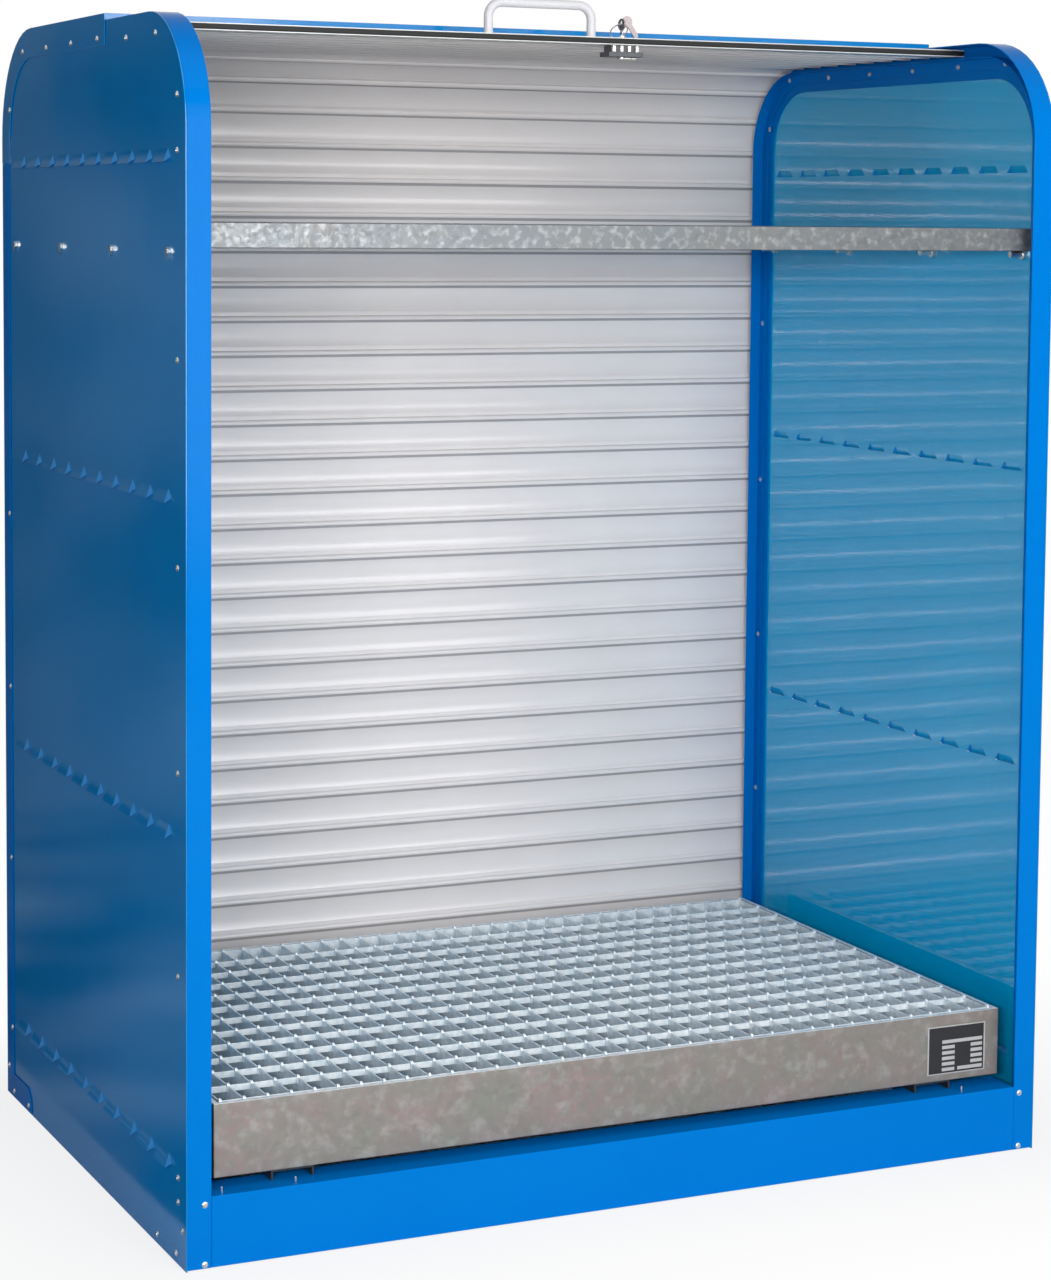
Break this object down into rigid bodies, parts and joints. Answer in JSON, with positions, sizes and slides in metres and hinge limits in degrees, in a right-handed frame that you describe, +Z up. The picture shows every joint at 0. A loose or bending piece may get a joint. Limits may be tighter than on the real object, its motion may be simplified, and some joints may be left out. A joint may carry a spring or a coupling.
{
  "type": "tambour door cabinet",
  "caption": "Floor-standing steel cabinet with a slatted tambour shutter running in curved side guides, a shelf, a sump tray and a lift-out grating.",
  "frame": {"origin": "centre of the bounding box's underside, on the floor", "axes": "+X to the right seen from the open front, +Y to the back, +Z up"},
  "size_m": [1.316, 0.869, 1.661],
  "materials": {
    "blue_enamel": "gloss powder-coated sheet steel",
    "tray_zinc": "spangled hot-dip galvanised sheet steel",
    "grating_zinc": "bright galvanised pressed grating",
    "slat_aluminium": "satin extruded aluminium",
    "handle_metal": "silver painted bar",
    "seal_rubber": "matt black rubber strip",
    "lock_chrome": "nickel-plated lock and key"
  },
  "bodies": {
    "cabinet": {"side_panel_left": "blue_enamel", "side_panel_right": "blue_enamel", "outer_guide_left": "blue_enamel", "outer_guide_right": "blue_enamel", "inner_guide_left": "blue_enamel", "inner_guide_right": "blue_enamel", "rear_hood": "blue_enamel", "back_cover": "blue_enamel", "front_plinth": "blue_enamel", "rear_beam": "blue_enamel", "tray_runner_left": "tray_zinc", "tray_runner_right": "tray_zinc", "shelf": "tray_zinc"},
    "tray": {"sump_tray": "tray_zinc", "sump_rib_1": "tray_zinc", "sump_rib_2": "tray_zinc"},
    "grating": {"grating": "grating_zinc"},
    "curtain_tail": {"slat_01": "slat_aluminium", "slat_02": "slat_aluminium", "slat_03": "slat_aluminium", "slat_04": "slat_aluminium", "slat_05": "slat_aluminium", "slat_06": "slat_aluminium", "slat_07": "slat_aluminium", "slat_08": "slat_aluminium", "slat_09": "slat_aluminium", "slat_10": "slat_aluminium", "slat_11": "slat_aluminium", "slat_12": "slat_aluminium", "slat_13": "slat_aluminium", "slat_14": "slat_aluminium", "slat_15": "slat_aluminium", "slat_16": "slat_aluminium", "slat_17": "slat_aluminium", "slat_18": "slat_aluminium", "slat_19": "slat_aluminium", "slat_20": "slat_aluminium", "slat_21": "slat_aluminium", "slat_22": "slat_aluminium", "slat_23": "slat_aluminium"},
    "curtain_entry": {"slat_24": "slat_aluminium"},
    "curtain_bend": {"slat_25": "slat_aluminium", "slat_26": "slat_aluminium", "slat_27": "slat_aluminium"},
    "curtain_exit": {"slat_28": "slat_aluminium"},
    "curtain_head": {"slat_29": "slat_aluminium", "slat_30": "slat_aluminium", "slat_31": "slat_aluminium", "slat_32": "slat_aluminium", "slat_33": "slat_aluminium", "slat_34": "slat_aluminium", "slat_35": "slat_aluminium", "slat_36": "slat_aluminium", "end_rail": "slat_aluminium", "rail_seal": "seal_rubber", "handle": "handle_metal", "lock_case": "lock_chrome"},
    "lock": {"lock_plug": "lock_chrome", "key": "lock_chrome", "key_ring": "lock_chrome"}
  },
  "joints": [
    {"name": "curtain_travel", "type": "slide", "parent": "cabinet", "child": "curtain_tail", "axis": [0, 0, 1], "range_m": [0, 0.05443]},
    {"name": "curtain_enter", "type": "hinge", "parent": "curtain_tail", "child": "curtain_entry", "pos_m": [0, 0.415, 1.41157], "axis": [1, 0, 0], "range_deg": [0, 11.25]},
    {"name": "curtain_bend_in", "type": "hinge", "parent": "curtain_entry", "child": "curtain_bend", "pos_m": [0, 0.415, 1.466], "axis": [1, 0, 0], "range_deg": [0, 11.25]},
    {"name": "curtain_bend_out", "type": "hinge", "parent": "curtain_bend", "child": "curtain_exit", "pos_m": [0, 0.32888, 1.59488], "axis": [1, 0, 0], "range_deg": [-11.25, 0]},
    {"name": "curtain_leave", "type": "hinge", "parent": "curtain_exit", "child": "curtain_head", "pos_m": [0, 0.2755, 1.6055], "axis": [1, 0, 0], "range_deg": [-11.25, 0]},
    {"name": "lock_turn", "type": "hinge", "parent": "curtain_head", "child": "lock", "pos_m": [0.082, -0.18314, 1.6055], "axis": [0, 0, 1], "range_deg": [-90, 0]},
    {"name": "tray_pull", "type": "slide", "parent": "cabinet", "child": "tray", "axis": [0, -1, 0], "range_m": [0, 0.6]},
    {"name": "grating_lift", "type": "slide", "parent": "tray", "child": "grating", "axis": [0, 0, 1], "range_m": [0, 0.3]}
  ],
  "couplings": [
    {"joint": "curtain_enter", "follows": "curtain_travel", "rad_per_m": 3.6074},
    {"joint": "curtain_bend_in", "follows": "curtain_travel", "rad_per_m": 3.6074},
    {"joint": "curtain_bend_out", "follows": "curtain_travel", "rad_per_m": -3.6074},
    {"joint": "curtain_leave", "follows": "curtain_travel", "rad_per_m": -3.6074}
  ]
}
